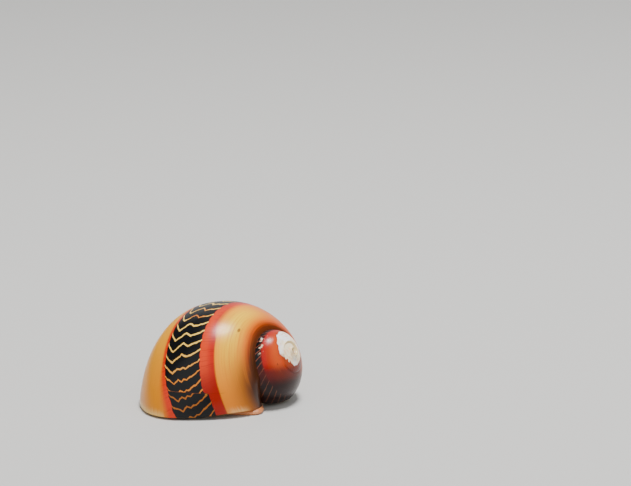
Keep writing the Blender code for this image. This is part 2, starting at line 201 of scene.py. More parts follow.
def wrapped_grid(name, columns, rows, place):
    """A flat grid of columns by rows whose every point is laid where place(column, row) says."""
    deselect()
    bpy.ops.mesh.primitive_grid_add(x_subdivisions=columns, y_subdivisions=rows, size=1)
    piece = bpy.context.object
    piece.name = name
    for vertex in piece.data.vertices:
        column = round((vertex.co.x + 0.5) * columns)
        row = round((vertex.co.y + 0.5) * rows)
        vertex.co = place(column, row)
    return piece


def apply_modifier(piece, kind, **settings):
    select_only(piece)
    change = piece.modifiers.new(kind.lower(), kind)
    for setting, value in settings.items():
        setattr(change, setting, value)
    bpy.ops.object.modifier_apply(modifier=change.name)


BASE_ANGLE = lowest_angle()
column_angles = []
for column in range(SHELL_COLUMNS + 1):
    column_angles.append(TOP_ANGLE + (BASE_ANGLE - TOP_ANGLE) * column / SHELL_COLUMNS)
lip_turns = []
early_ends = []
last_starts = []
for angle in column_angles:
    peak = highest_turn(angle)
    lip_turns.append(rim_turn(angle, peak, 200))
    last_starts.append(rim_turn(angle, peak, SEAM_TURN))
    early_ends.append(rim_turn(angle, peak - 360, SEAM_TURN))


def shell_turn(column, row):
    """Turn of a grid row: the early whorls first, then the last whorl up to the lip."""
    if row <= EARLY_ROWS:
        share = (row / EARLY_ROWS) ** 0.8
        return FIRST_TURN + (early_ends[column] - FIRST_TURN) * share
    share = (row - EARLY_ROWS - 1) / (LAST_WHORL_ROWS - 1)
    return last_starts[column] + (lip_turns[column] - last_starts[column]) * share


def worn(point, turn):
    """Flattens what stands out of the worn dome, but for a trace of the old whorls."""
    spoke = point - WORN_DOME_MIDDLE
    extra = spoke.length - WORN_DOME_RADIUS
    if turn < WORN_THROUGH_TURN:
        kept = extra * WORN_RELIEF
    else:
        kept = -math.log1p(math.exp(-extra / WORN_SOFTNESS)) * WORN_SOFTNESS + max(0, extra) * WORN_RELIEF
    return WORN_DOME_MIDDLE + spoke.normalized() * (WORN_DOME_RADIUS + kept)


def lay_shell(column, row):
    turn = shell_turn(column, row)
    point = shell_point(turn, column_angles[column])
    return worn(point, turn) if turn < -150 else point


SHELL_ROWS = EARLY_ROWS + LAST_WHORL_ROWS
shell = wrapped_grid("shell", SHELL_COLUMNS, SHELL_ROWS, lay_shell)

# Where the colours lie round the whorl, in degrees, changes a little as the shell grows
GROWTH_STOP_TURN = 93.5
GROWTH_STOP_SLANT = 0.33
RED_LINE_ANGLE = -14
ZIGZAG_TOP_ANGLE = 21.5
GOLD_LINE_ANGLE = 36
SUTURE_ANGLE = 81.5
LINE_START_TURN = 29.3
LINES_PER_DEGREE = 0.102
LINES_CROWDING = 0.000425
STEADY_TURN = 10
BANDS_END_ANGLES = (-125, 110)


def band_place(turn, angle):
    """Whole numbers at the edges of the colour bands: base, red, zigzag, red, gold, suture."""
    paused = smooth_step(turn, GROWTH_STOP_TURN - 1, GROWTH_STOP_TURN + 3)
    zigzag_low = RED_LINE_ANGLE + 9 * smooth_step(turn, 60, 100)
    red_low = zigzag_low - 2.5 - 5 * smooth_step(turn, 60, 95)
    zigzag_high = ZIGZAG_TOP_ANGLE + 5 * paused
    edges = [red_low, zigzag_low, zigzag_high, GOLD_LINE_ANGLE, SUTURE_ANGLE, BANDS_END_ANGLES[1]]
    edges.insert(0, BANDS_END_ANGLES[0])
    for place in range(len(edges) - 1):
        if angle <= edges[place + 1]:
            return place + (angle - edges[place]) / (edges[place + 1] - edges[place])
    return len(edges) - 1


def line_place(turn):
    """Count of zigzag lines laid down by one turn: they crowd together towards the lip."""
    late = max(turn, STEADY_TURN) - LINE_START_TURN
    steady = min(0, turn - STEADY_TURN)
    steady_rate = LINES_PER_DEGREE + 2 * LINES_CROWDING * (STEADY_TURN - LINE_START_TURN)
    return LINES_PER_DEGREE * late + LINES_CROWDING * late * late + steady * steady_rate


shell.data.uv_layers.new(name="bands")
shell.data.uv_layers.new(name="coil")
grid_uv, bands, coil = shell.data.uv_layers
for corner in shell.data.loops:
    share = grid_uv.data[corner.index].uv
    column = round(share.x * SHELL_COLUMNS)
    row = round(share.y * SHELL_ROWS)
    turn = shell_turn(column, row)
    angle = column_angles[column]
    bands.data[corner.index].uv = (line_place(turn), band_place(turn, angle))
    coil.data[corner.index].uv = (turn / 360, angle / 100)

# Drop the faces that later whorls cover and those below the rim between two whorls
hidden_faces = []
for face in shell.data.polygons:
    shares = [grid_uv.data[corner].uv for corner in face.loop_indices]
    row = min(round(share.y * SHELL_ROWS) for share in shares)
    column = min(round(share.x * SHELL_COLUMNS) for share in shares)
    covered = row < EARLY_ROWS and column_angles[column] < COVERED_ANGLE
    gap = last_starts[column] - early_ends[column]
    apart = row == EARLY_ROWS and (gap > 0.5 or column_angles[column] < COVERED_ANGLE)
    hidden_faces.append(covered or apart)
select_only(shell)
bpy.context.tool_settings.mesh_select_mode = (False, False, True)
bpy.ops.object.mode_set(mode="EDIT")
bpy.ops.mesh.select_all(action="DESELECT")
bpy.ops.object.mode_set(mode="OBJECT")
shell.data.polygons.foreach_set("select", hidden_faces)
bpy.ops.object.mode_set(mode="EDIT")
bpy.ops.mesh.delete(type="FACE")
bpy.ops.mesh.select_all(action="SELECT")
bpy.ops.mesh.remove_doubles(threshold=0.002 * MM)
bpy.ops.object.mode_set(mode="OBJECT")
middle_face = max(shell.data.polygons, key=lambda face: face.center.z)
if middle_face.normal.z < 0:
    shell.data.flip_normals()
outer_faces = len(shell.data.polygons)
apply_modifier(shell, "SOLIDIFY", thickness=SHELL_THICKNESS, offset=-1)
bpy.ops.object.shade_smooth_by_angle(angle=SMOOTH_UP_TO)


def linear(code):
    """sRGB hex colour as linear red, green, blue, alpha."""
    channels = []
    for start in (1, 3, 5):
        value = int(code[start:start + 2], 16) / 255
        channels.append(value / 12.92 if value <= 0.04045 else ((value + 0.055) / 1.055) ** 2.4)
    return (*channels, 1)


def add_node(tree, kind, links=None, **settings):
    """A shader node with its settings, and its inputs linked or set by name or number."""
    node = tree.nodes.new("ShaderNode" + kind)
    for setting, value in settings.items():
        setattr(node, setting, value)
    for socket, value in (links or {}).items():
        if hasattr(value, "is_output"):
            tree.links.new(value, node.inputs[socket])
        else:
            node.inputs[socket].default_value = value
    return node


def new_material(name):
    finish = bpy.data.materials.new(name)
    finish.use_nodes = True
    tree = finish.node_tree
    return finish, tree, tree.nodes["Principled BSDF"]


def calculate(tree, operation, first, second=0.0, third=0.0, clamp=False):
    links = {0: first, 1: second, 2: third}
    return add_node(tree, "Math", links, operation=operation, use_clamp=clamp).outputs[0]


def step_between(tree, value, low, high):
    links = {"Value": value, "From Min": low, "From Max": high}
    return add_node(tree, "MapRange", links, interpolation_type="SMOOTHSTEP").outputs["Result"]


def blend_colour(tree, share, first, second, kind="MIX"):
    mixer = add_node(tree, "Mix", {"Factor": share}, data_type="RGBA", blend_type=kind)
    for socket, value in ((mixer.inputs[6], first), (mixer.inputs[7], second)):
        if hasattr(value, "is_output"):
            tree.links.new(value, socket)
        else:
            socket.default_value = value
    return mixer.outputs[2]


# Polished aragonite looks wet: a small sharp glint over deep, saturated pigment, and it stays
# dark between the glints because the wall reflects little from other directions
shell_finish, tree, shader = new_material("polished aragonite")
band_map = add_node(tree, "UVMap", uv_map="bands").outputs[0]
coil_map = add_node(tree, "UVMap", uv_map="coil").outputs[0]
band_parts = add_node(tree, "SeparateXYZ", {0: band_map})
coil_parts = add_node(tree, "SeparateXYZ", {0: coil_map})
line_count = band_parts.outputs[0]
band = band_parts.outputs[1]
turns = coil_parts.outputs[0]
angles = coil_parts.outputs[1]
place = add_node(tree, "TexCoord").outputs["Object"]
height = add_node(tree, "SeparateXYZ", {0: place}).outputs[2]

# Fine streaks run along the coil where the mantle's edge laid down more or less pigment
streak_map = add_node(tree, "Mapping", {0: coil_map, "Scale": (7, 110, 1)}).outputs[0]
streaks = add_node(tree, "TexNoise", {"Vector": streak_map, "Scale": 1, "Detail": 3}).outputs[0]
cloud = add_node(tree, "TexNoise", {"Vector": place, "Scale": 420, "Detail": 3}).outputs[0]

# Broader streaks of about 0.2 mm are what the eye makes out. Growth lines cross them.
broad_map = add_node(tree, "Mapping", {0: coil_map, "Scale": (5, 42, 1)}).outputs[0]
broad_streaks = add_node(tree, "TexNoise", {"Vector": broad_map, "Scale": 1, "Detail": 2}).outputs[0]
growth_map = add_node(tree, "Mapping", {0: coil_map, "Scale": (300, 4, 1)}).outputs[0]
growth = add_node(tree, "TexNoise", {"Vector": growth_map, "Scale": 1, "Detail": 2}).outputs[0]
wobble = calculate(tree, "SUBTRACT", streaks, 0.5)
soft_band = calculate(tree, "MULTIPLY_ADD", wobble, 0.22, band)


def within(low, high, value, soft):
    """One between two values and nothing outside, with soft edges of one width."""
    rising = step_between(tree, value, low - soft, low + soft)
    falling = step_between(tree, value, high + soft, high - soft)
    return calculate(tree, "MULTIPLY", rising, falling)


# Gold ground: pale along the crest, partly pale pigment and partly a painted highlight, orange towards the
# suture, orange-red over the top, and brown beside the suture late in growth, partly older pigment and partly
# painted shade
crest = within(0.4, 0.6, angles, 0.09)
# The pale crest is partly the shell's own paler band and partly a painted highlight
crest_pigment_and_highlight = calculate(tree, "MULTIPLY", crest, within(0.0, 0.2, turns, 0.09))
gold = blend_colour(tree, step_between(tree, angles, 0.56, 0.76), linear("#F49400"), linear("#D04C00"))
gold = blend_colour(tree, calculate(tree, "MULTIPLY", crest_pigment_and_highlight, 0.9), gold, linear("#FACC00"))
over_top = calculate(tree, "MULTIPLY", step_between(tree, turns, 0.05, -0.12), 0.75)
gold = blend_colour(tree, over_top, gold, linear("#CE4600"))
# Darker towards the lip and beside the suture late in growth: partly the older pigment and partly painted
# shade
late = calculate(tree, "MULTIPLY", step_between(tree, turns, 0.2, 0.31), 0.75)
gold = blend_colour(tree, late, gold, linear("#D87400"))
beside_suture = step_between(tree, angles, 0.4, 0.72)
latest_pigment_and_shade = calculate(tree, "MULTIPLY", step_between(tree, turns, 0.15, 0.32), beside_suture)
gold = blend_colour(tree, latest_pigment_and_shade, gold, linear("#2A1408"))
near_suture_pigment_and_shade = step_between(tree, angles, 0.66, 0.8)
near_suture_pigment_and_shade = calculate(tree, "MULTIPLY", near_suture_pigment_and_shade, step_between(tree, turns, 0.1, 0.26))
gold = blend_colour(tree, near_suture_pigment_and_shade, gold, linear("#4A1F08"))
# The base band darkens towards the lip at the bottom: partly the later pigment and partly painted shade
base = blend_colour(tree, step_between(tree, turns, 0.08, 0.24), linear("#F4AA00"), linear("#DE8A00"))
ground = blend_colour(tree, step_between(tree, angles, 0.05, 0.06), base, gold)
streak_share = calculate(tree, "MULTIPLY", step_between(tree, streaks, 0.5, 0.72), 0.3)
streak_share = calculate(tree, "MULTIPLY", streak_share, step_between(tree, turns, 0.3, 0.2))
off_base = calculate(tree, "MULTIPLY_ADD", step_between(tree, angles, -0.1, 0.2), 0.65, 0.35)
streak_share = calculate(tree, "MULTIPLY", streak_share, off_base)
ground = blend_colour(tree, streak_share, ground, linear("#D06A00"))
broad_share = calculate(tree, "MULTIPLY", step_between(tree, broad_streaks, 0.48, 0.66), 0.5)
broad_share = calculate(tree, "MULTIPLY", broad_share, within(0.06, 0.27, turns, 0.07))
broad_share = calculate(tree, "MULTIPLY", broad_share, step_between(tree, angles, 0.3, 0.5))
ground = blend_colour(tree, broad_share, ground, linear("#D87400"))

# Red bands on both sides of the zigzag. Over the top the upper one is blood red and fades
# into the gold; on the side it starts salmon, deepens outward and ends sharply.
red_share = calculate(tree, "SUBTRACT", soft_band, 3, clamp=True)
side_red = blend_colour(tree, step_between(tree, red_share, 0.25, 0.85), linear("#D63A0A"), linear("#BC1A00"))
side_red = blend_colour(tree, step_between(tree, turns, 0.2, 0.26), side_red, linear("#9A1202"))
top_red = blend_colour(tree, step_between(tree, red_share, 0.1, 0.8), linear("#AE0E02"), linear("#DC3A00"))
red = blend_colour(tree, step_between(tree, turns, -0.01, 0.09), top_red, side_red)
lower_side = step_between(tree, band, 2.6, 2.4)
red = blend_colour(tree, lower_side, red, linear("#D22E00"))
softness = calculate(tree, "MULTIPLY_ADD", step_between(tree, turns, 0.1, 0.16), -0.35, 0.45)
growth_share = calculate(tree, "MULTIPLY", step_between(tree, growth, 0.5, 0.68), 0.4)
red = blend_colour(tree, growth_share, red, linear("#8E1402"))
upper_end = calculate(tree, "SUBTRACT", 4.02, soft_band)
upper_red = calculate(tree, "DIVIDE", upper_end, softness, clamp=True)
lower_red = step_between(tree, soft_band, 0.82, 1.75)
in_red = calculate(tree, "MULTIPLY", lower_red, upper_red)
colour = blend_colour(tree, in_red, ground, red)

# Thin gold lines cross the black band, each bent like its neighbours. They bend more often
# late in growth, and the pattern starts afresh after the pause in growth near the lip.
EARLY_BENDS = (
    (0, -0.45), (0.056, -0.12), (0.113, 0.2), (0.17, 0.46), (0.225, 0.62), (0.31, 0.42),
    (0.395, 0.18), (0.465, 0.02), (0.52, 0.12), (0.62, 0.38), (0.73, 0.28), (0.87, 0.16), (1, -0.05),
)
LATE_BENDS = (
    (0, -0.45), (0.05, -0.1), (0.13, 0.14), (0.22, 0.56), (0.28, 0.42), (0.34, 0.28),
    (0.42, 0.58), (0.5, 0.42), (0.58, 0.56), (0.68, 0.36), (0.8, 0.28), (0.9, 0.12), (1, -0.05),
)
zig_share = calculate(tree, "SUBTRACT", band, 2, clamp=True)


def bend_curve(points):
    node = add_node(tree, "FloatCurve", {"Value": zig_share})
    node.mapping.use_clip = False
    curve = node.mapping.curves[0]
    while len(curve.points) < len(points):
        curve.points.new(0.5, 0.5)
    for point, (share, lines) in zip(curve.points, points):
        point.location = (share, lines)
        point.handle_type = "VECTOR"
    node.mapping.update()
    return node.outputs[0]


slant = calculate(tree, "MULTIPLY_ADD", angles, -100 * GROWTH_STOP_SLANT / 360, turns)
stop_place = (GROWTH_STOP_TURN - 20 * GROWTH_STOP_SLANT) / 360
after_stop = step_between(tree, slant, stop_place - 0.0004, stop_place + 0.0004)
bend_mix = step_between(tree, turns, 0.16, 0.23)
early_bend = bend_curve(EARLY_BENDS)
late_bend = bend_curve(LATE_BENDS)
bend_change = calculate(tree, "SUBTRACT", late_bend, early_bend)
bend = calculate(tree, "MULTIPLY_ADD", bend_change, bend_mix, early_bend)
on_spire = step_between(tree, turns, -0.46, -0.52)
spire_bend = calculate(tree, "MULTIPLY_ADD", zig_share, -1.43, 1.43)
bend = calculate(tree, "MULTIPLY_ADD", calculate(tree, "SUBTRACT", spire_bend, bend), on_spire, bend)
jitter_map = add_node(tree, "Mapping", {0: band_map, "Scale": (1.1, 9, 1)}).outputs[0]
jitter = add_node(tree, "TexNoise", {"Vector": jitter_map, "Scale": 1, "Detail": 3}).outputs[0]
jitter = calculate(tree, "MULTIPLY", calculate(tree, "SUBTRACT", jitter, 0.5), 0.32)
laid = calculate(tree, "SUBTRACT", line_count, bend)
laid = calculate(tree, "ADD", laid, jitter)
laid = calculate(tree, "MULTIPLY_ADD", after_stop, 0.45, laid)
away = calculate(tree, "PINGPONG", laid, 0.5)
thick = calculate(tree, "MULTIPLY_ADD", cloud, 0.11, 0.024)
line = step_between(tree, calculate(tree, "SUBTRACT", away, thick), 0.03, -0.04)
line_colour = blend_colour(tree, step_between(tree, cloud, 0.35, 0.52), linear("#E07A10"), linear("#FFD060"))
line_colour = blend_colour(tree, step_between(tree, turns, 0.15, 0.24), line_colour, linear("#D87A14"))
line_colour = blend_colour(tree, calculate(tree, "MULTIPLY", after_stop, 0.6), line_colour, linear("#6A3A14"))
line_colour = blend_colour(tree, on_spire, line_colour, linear("#7A2A14"))
black = blend_colour(tree, cloud, linear("#020203"), linear("#0C0E12"))
zigzag = blend_colour(tree, line, black, line_colour)
ragged_band = calculate(tree, "MULTIPLY_ADD", away, 0.05, band)
ragged_band = calculate(tree, "MULTIPLY_ADD", wobble, 0.05, ragged_band)
in_zigzag = within(2.015, 3.015, ragged_band, 0.012)
colour = blend_colour(tree, in_zigzag, colour, zigzag)
stop_line = within(stop_place - 0.0008, stop_place + 0.0008, slant, 0.0006)
stop_line = calculate(tree, "MULTIPLY", stop_line, within(-0.06, 0.4, angles, 0.03))
stop_line = calculate(tree, "MULTIPLY", stop_line, 0.22)
colour = blend_colour(tree, stop_line, colour, linear("#5A1A08"))

# The spire's whorl is redder. Where it dips under the last one, painted shade darkens it towards the bottom,
# first to maroon and then to black, and the thin lines of the band stay visible in the black.
spire_red = calculate(tree, "MULTIPLY", within(0.22, 0.5, angles, 0.09), on_spire)
colour = blend_colour(tree, calculate(tree, "MULTIPLY", spire_red, 0.8), colour, linear("#A80C08"))
spire_gold = calculate(tree, "MULTIPLY", step_between(tree, angles, 0.36, 0.46), on_spire)
colour = blend_colour(tree, calculate(tree, "MULTIPLY", spire_gold, 0.75), colour, linear("#C23C02"))
inner_whorls = step_between(tree, turns, -1.25, -1.3)
colour = blend_colour(tree, inner_whorls, colour, linear("#C04408"))
# Painted shade on the spire: darker towards the bottom, maroon and then black
spire_shade_turns = step_between(tree, turns, -0.28, -0.46)
uneven_height = calculate(tree, "MULTIPLY_ADD", wobble, 0.9 * MM, height)
spire_painted_shade_maroon = calculate(tree, "MULTIPLY", step_between(tree, uneven_height, 5.6 * MM, 4.4 * MM), spire_shade_turns)
spire_painted_shade_black = calculate(tree, "MULTIPLY", step_between(tree, uneven_height, 4.5 * MM, 2.7 * MM), spire_shade_turns)
colour = blend_colour(tree, calculate(tree, "MULTIPLY", spire_painted_shade_maroon, 0.85), colour, linear("#520804"))
spire_lines = calculate(tree, "MULTIPLY", calculate(tree, "MULTIPLY", line, in_zigzag), on_spire)
colour = blend_colour(tree, calculate(tree, "MULTIPLY", spire_painted_shade_black, 0.9), colour, linear("#060304"))
colour = blend_colour(tree, calculate(tree, "MULTIPLY", spire_lines, 0.5), colour, linear("#7E4A34"))

# The growing edge is thin, so it is paler under the base and at the foot of the gold
pale_lip = step_between(tree, uneven_height, 1.2 * MM, 0.3 * MM)
pale_lip = calculate(tree, "MULTIPLY", pale_lip, step_between(tree, band, 1.2, 0.9))
pale_lip = calculate(tree, "MULTIPLY", pale_lip, step_between(tree, turns, 0.05, 0.15))
colour = blend_colour(tree, calculate(tree, "MULTIPLY", pale_lip, 0.6), colour, linear("#FBDC84"))
thin_edge = step_between(tree, uneven_height, 1.5 * MM, 0.5 * MM)
thin_edge = calculate(tree, "MULTIPLY", thin_edge, within(0.38, 0.54, angles, 0.05))
thin_edge = calculate(tree, "MULTIPLY", thin_edge, step_between(tree, turns, 0.12, 0.2))
colour = blend_colour(tree, calculate(tree, "MULTIPLY", thin_edge, 0.6), colour, linear("#F4CC84"))

# Dark brown painted shade in the groove along the suture, a few white chips, and two small blemishes
# Painted shade: the groove along the suture is darkened to brown
edge = step_between(tree, soft_band, 4.68, 4.94)
edge = calculate(tree, "MULTIPLY", edge, step_between(tree, turns, -0.3, -0.2))
colour = blend_colour(tree, calculate(tree, "MULTIPLY", edge, 0.9), colour, linear("#3A1B06"))
CHIP_ANGLES = (0.12, 0.25)
CHIP_TURNS = (-0.92, -0.8)
BLEMISHES = ((42 / 360, 0.57), (-253 / 360, 0.57))
flakes = add_node(tree, "TexNoise", {"Vector": place, "Scale": 1900, "Detail": 3}).outputs[0]
chips = calculate(tree, "MULTIPLY", within(*CHIP_ANGLES, angles, 0.03), within(*CHIP_TURNS, turns, 0.02))
chips = calculate(tree, "MULTIPLY", chips, step_between(tree, flakes, 0.55, 0.61))
for spot in BLEMISHES:
    apart = add_node(tree, "VectorMath", {0: coil_map, 1: (*spot, 0)}, operation="SUBTRACT").outputs[0]
    apart = add_node(tree, "VectorMath", {0: apart, 1: (1, 0.45, 0)}, operation="MULTIPLY").outputs[0]
    reach = add_node(tree, "VectorMath", {0: apart}, operation="LENGTH").outputs["Value"]
    blemish = calculate(tree, "MULTIPLY", step_between(tree, reach, 0.0095, 0.005), 0.75)
    colour = blend_colour(tree, blemish, colour, linear("#6A2A08"))

# The worn tip: white chalk with peach and yellow tints, in faint rings of the old whorls
CHALK_RING_SPACING = 0.42 * MM
WORN_PATCH_MIDDLE = APEX + AXIS * WORN_DOME_TOP + UPWARD * 0.45 * MM - ONWARD * 0.3 * MM
from_tip = add_node(tree, "VectorMath", {0: place, 1: WORN_PATCH_MIDDLE}, operation="DISTANCE")
from_tip = from_tip.outputs["Value"]
ragged = calculate(tree, "MULTIPLY_ADD", calculate(tree, "SUBTRACT", flakes, 0.5), 0.8 * MM, from_tip)
ragged = calculate(tree, "MULTIPLY_ADD", calculate(tree, "SUBTRACT", cloud, 0.5), 0.9 * MM, ragged)
early = step_between(tree, turns, -0.58, -0.62)
chalk = calculate(tree, "MULTIPLY", step_between(tree, ragged, 2.16 * MM, 2.04 * MM), early)
halo = calculate(tree, "MULTIPLY", step_between(tree, ragged, 2.45 * MM, 2.15 * MM), early)
colour = blend_colour(tree, calculate(tree, "MULTIPLY", halo, 0.3), colour, linear("#6A1A06"))
ring_wave = calculate(tree, "SINE", calculate(tree, "MULTIPLY", ragged, 2 * math.pi / CHALK_RING_SPACING))
ring_wave = calculate(tree, "MULTIPLY_ADD", ring_wave, 0.5, 0.5)
tint = calculate(tree, "MULTIPLY", ring_wave, step_between(tree, flakes, 0.45, 0.65))
chalk_colour = blend_colour(tree, step_between(tree, cloud, 0.42, 0.6), linear("#FFFFFF"), linear("#FFEECB"))
chalk_colour = blend_colour(tree, calculate(tree, "MULTIPLY", tint, 0.5), chalk_colour, linear("#EFA061"))
bare = calculate(tree, "MAXIMUM", chalk, chips)
colour = blend_colour(tree, bare, colour, chalk_colour)
tree.links.new(colour, shader.inputs["Base Color"])
rough = calculate(tree, "MULTIPLY_ADD", bare, 0.45, 0.3)
tree.links.new(rough, shader.inputs["Roughness"])
shader.inputs["IOR"].default_value = 1.5
shader.inputs["Specular IOR Level"].default_value = 0.22
shader.inputs["Coat Weight"].default_value = 0.12
shader.inputs["Coat Roughness"].default_value = 0.17
relief = calculate(tree, "MULTIPLY_ADD", bare, calculate(tree, "MULTIPLY", flakes, 5), streaks)
relief = calculate(tree, "MULTIPLY_ADD", growth, 0.7, relief)
line_bump = add_node(tree, "Bump", {"Strength": 0.22, "Distance": 0.03 * MM, "Height": relief})
tree.links.new(line_bump.outputs[0], shader.inputs["Normal"])
shell.data.materials.clear()
shell.data.materials.append(shell_finish)

# Inside, the wall is smooth cream porcelain, so low views look into a bright mouth and not at
# the pattern again; the dark band shows through it faintly
lining, tree, shader = new_material("porcelain lining")
lining_place = add_node(tree, "TexCoord").outputs["Object"]
lining_cloud = add_node(tree, "TexNoise", {"Vector": lining_place, "Scale": 350, "Detail": 3}).outputs[0]
lining_map = add_node(tree, "UVMap", uv_map="bands").outputs[0]
lining_bands = add_node(tree, "SeparateXYZ", {0: lining_map}).outputs[1]
lining_colour = blend_colour(tree, lining_cloud, linear("#EAD9AC"), linear("#DDBB78"))
dark_band = within(2.05, 2.95, lining_bands, 0.1)
dark_band = calculate(tree, "MULTIPLY", dark_band, 0.35)
lining_colour = blend_colour(tree, dark_band, lining_colour, linear("#6E6258"))
tree.links.new(lining_colour, shader.inputs["Base Color"])
shader.inputs["Roughness"].default_value = 0.22
shader.inputs["IOR"].default_value = 1.5
shell.data.materials.append(lining)
finishes = [0] * len(shell.data.polygons)
finishes[outer_faces:2 * outer_faces] = [1] * outer_faces
shell.data.polygons.foreach_set("material_index", finishes)
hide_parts("shell_body_whorl", "shell_spire")
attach(shell, "root")


# Columellar deck: the shelf of thick cream callus that narrows the shell's mouth.
# It grows across the far half of the mouth from the inner wall, and its free edge
# carries a row of small rounded teeth.
DECK_EDGE_POINT = Vector((1.9, -1.8, 0)) * MM
DECK_EDGE_HEADING = -30
DECK_TOOTH_COUNT = 7
DECK_TOOTH_PITCH = 0.55 * MM
DECK_TOOTH_DEPTH = 0.22 * MM
DECK_THICKNESS = 0.7 * MM
DECK_COLUMNS = 150
DECK_ROWS = 24
deck_along = heading(DECK_EDGE_HEADING)
deck_away = heading(DECK_EDGE_HEADING + 90)
far_rim = []
for angle, turn in zip(column_angles, last_starts):
    if turn > SEAM_TURN + 1:
        offset = shell_point(turn, angle) - DECK_EDGE_POINT
        far_rim.append((offset.dot(deck_along), offset.dot(deck_away)))
far_rim = sorted(point for point in far_rim if point[1] > 0.2 * MM)


def far_reach(along):
    """How far back from its free edge the deck reaches, at a place along that edge."""
    for (near, near_reach), (far, reach) in zip(far_rim, far_rim[1:]):
        if near <= along <= far:
            return near_reach + (reach - near_reach) * (along - near) / (far - near)
    return 0


def lay_deck(column, row):
    low, high = far_rim[0][0] + 0.2 * MM, far_rim[-1][0] - 0.2 * MM
    along = low + (high - low) * column / DECK_COLUMNS
    share = row / DECK_ROWS
    reach = max(0.1 * MM, far_reach(along) - 0.25 * MM)
    toothed = smooth_step(abs(along), DECK_TOOTH_COUNT / 2 * DECK_TOOTH_PITCH, 1.6 * MM)
    tooth = 0.5 + 0.5 * math.cos(2 * math.pi * along / DECK_TOOTH_PITCH)
    edge = DECK_TOOTH_DEPTH * (1 - tooth) * (1 - toothed)
    back = edge + (reach - edge) * share
    spot = DECK_EDGE_POINT + deck_along * along + deck_away * back
    spot.z = rim_height(spot.x, spot.y) + 0.12 * MM * bell(share, 0.5, 0.4)
    return spot


deck = wrapped_grid("callus_deck", DECK_COLUMNS, DECK_ROWS, lay_deck)
if deck.data.polygons[0].normal.z > 0:
    deck.data.flip_normals()
apply_modifier(deck, "SOLIDIFY", thickness=DECK_THICKNESS, offset=-1)
apply_modifier(deck, "BEVEL", width=0.1 * MM, segments=2, limit_method="ANGLE", angle_limit=SMOOTH_UP_TO)
bpy.ops.object.shade_smooth_by_angle(angle=SMOOTH_UP_TO)
# Callus is denser and smoother than the wall: cream with warm clouds and a soft shine
callus_finish, tree, shader = new_material("shell callus")
place = add_node(tree, "TexCoord").outputs["Object"]
cloud = add_node(tree, "TexNoise", {"Vector": place, "Scale": 500, "Detail": 3}).outputs[0]
callus_colour = blend_colour(tree, cloud, linear("#EFE0B8"), linear("#E6B878"))
tree.links.new(callus_colour, shader.inputs["Base Color"])
shader.inputs["Roughness"].default_value = 0.3
shader.inputs["IOR"].default_value = 1.53
deck.data.materials.append(callus_finish)
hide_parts("columellar_deck")
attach(deck, "root")


# Operculum: the limy half-moon door that shuts the mouth when the animal draws in.
# It grows in arcs from one corner and rides on the back of the foot, outer face up.
OPERCULUM_MIDDLE = Vector((1.75, -5.85, 0)) * MM
OPERCULUM_HEADING = -25
OPERCULUM_HALF_LENGTH = 2.2 * MM
OPERCULUM_OUTER = 0.9 * MM
OPERCULUM_INNER = 1.6 * MM
OPERCULUM_LOW = 1.0 * MM
OPERCULUM_THICKNESS = 0.55 * MM
OPERCULUM_ARC_SPACING = 0.35 * MM
OPERCULUM_COLUMNS = 72
OPERCULUM_PROFILE = ((0, 0), (0.6, 0), (0.95, 0.04), (1, 0.3), (1, 0.6), (0.95, 0.85), (0.7, 0.98), (0, 1))
operculum_along = heading(OPERCULUM_HEADING)
operculum_across = heading(OPERCULUM_HEADING + 90)


def lay_operculum(column, row):
    size, level = OPERCULUM_PROFILE[row]
    swing = 2 * math.pi * column / OPERCULUM_COLUMNS
    half_width = OPERCULUM_OUTER if math.sin(swing) < 0 else OPERCULUM_INNER
    spot = OPERCULUM_MIDDLE + operculum_along * math.cos(swing) * OPERCULUM_HALF_LENGTH * size
    spot += operculum_across * math.sin(swing) * half_width * size
    spot.z = OPERCULUM_LOW + OPERCULUM_THICKNESS * level
    return spot


def close_tube(piece):
    """Merges the seam and the poles of a wrapped grid and turns its faces outward."""
    select_only(piece)
    bpy.ops.object.mode_set(mode="EDIT")
    bpy.ops.mesh.select_all(action="SELECT")
    bpy.ops.mesh.remove_doubles(threshold=0.0005 * MM)
    bpy.ops.mesh.normals_make_consistent(inside=False)
    bpy.ops.object.mode_set(mode="OBJECT")


door = wrapped_grid("operculum_plate", OPERCULUM_COLUMNS, len(OPERCULUM_PROFILE) - 1, lay_operculum)
close_tube(door)
apply_modifier(door, "SUBSURF", levels=2, render_levels=2)
bpy.ops.object.shade_smooth()
# Its growth arcs show as alternate buff and brown ridges that catch the light one by one
door_finish, tree, shader = new_material("limy operculum")
place = add_node(tree, "TexCoord").outputs["Object"]
corner = OPERCULUM_MIDDLE + operculum_along * OPERCULUM_HALF_LENGTH * 0.7
from_corner = add_node(tree, "VectorMath", {0: place, 1: corner}, operation="DISTANCE").outputs["Value"]
arc = calculate(tree, "SINE", calculate(tree, "MULTIPLY", from_corner, 2 * math.pi / OPERCULUM_ARC_SPACING))
arc = calculate(tree, "MULTIPLY_ADD", arc, 0.5, 0.5)
door_colour = blend_colour(tree, arc, linear("#B8743C"), linear("#D9A468"))
tree.links.new(door_colour, shader.inputs["Base Color"])
shader.inputs["Roughness"].default_value = 0.4
arc_bump = add_node(tree, "Bump", {"Strength": 0.4, "Distance": 0.03 * MM, "Height": arc})
tree.links.new(arc_bump.outputs[0], shader.inputs["Normal"])
door.data.materials.append(door_finish)
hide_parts("operculum")
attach(door, "root")


